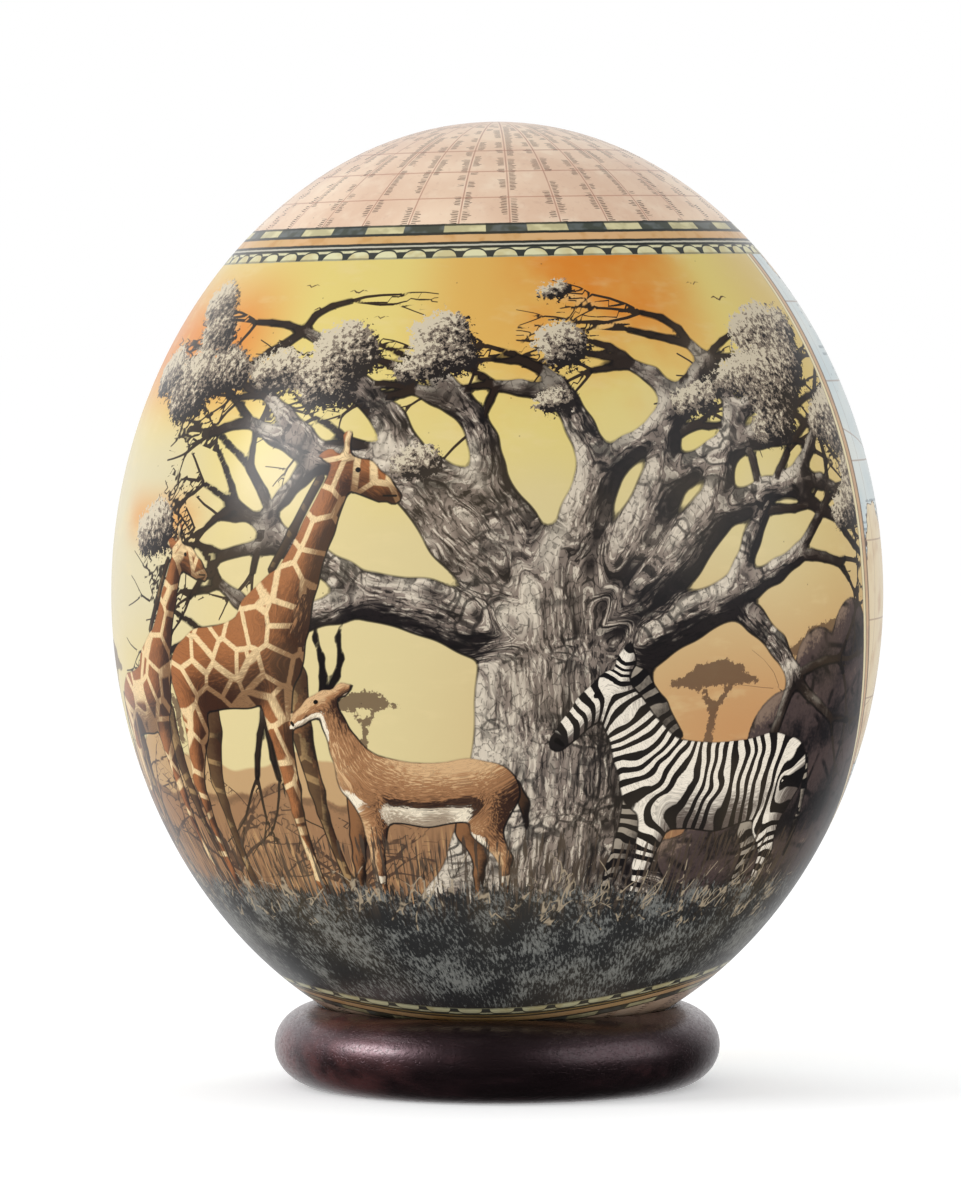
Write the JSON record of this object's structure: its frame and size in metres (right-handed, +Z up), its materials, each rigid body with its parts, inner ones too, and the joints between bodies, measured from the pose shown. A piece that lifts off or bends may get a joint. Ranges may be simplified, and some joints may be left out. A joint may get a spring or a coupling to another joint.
{
  "type": "decorated ostrich egg on a ring stand",
  "caption": "Varnished ostrich egg with a painted savannah scene, standing upright in a turned dark wooden ring.",
  "frame": {"origin": "on the surface that the stand rests on, on the axis that the egg and the ring share", "axes": "+Z up along the egg's long axis; the scene faces -Y"},
  "size_m": [0.128, 0.128, 0.1597],
  "materials": {
    "varnished_shell": "eggshell with painted paper under satin varnish",
    "stained_wood": "dark red-brown stain under satin lacquer"
  },
  "bodies": {
    "root": {"ostrich_egg": "varnished_shell", "ring_stand": "stained_wood"}
  },
  "joints": []
}
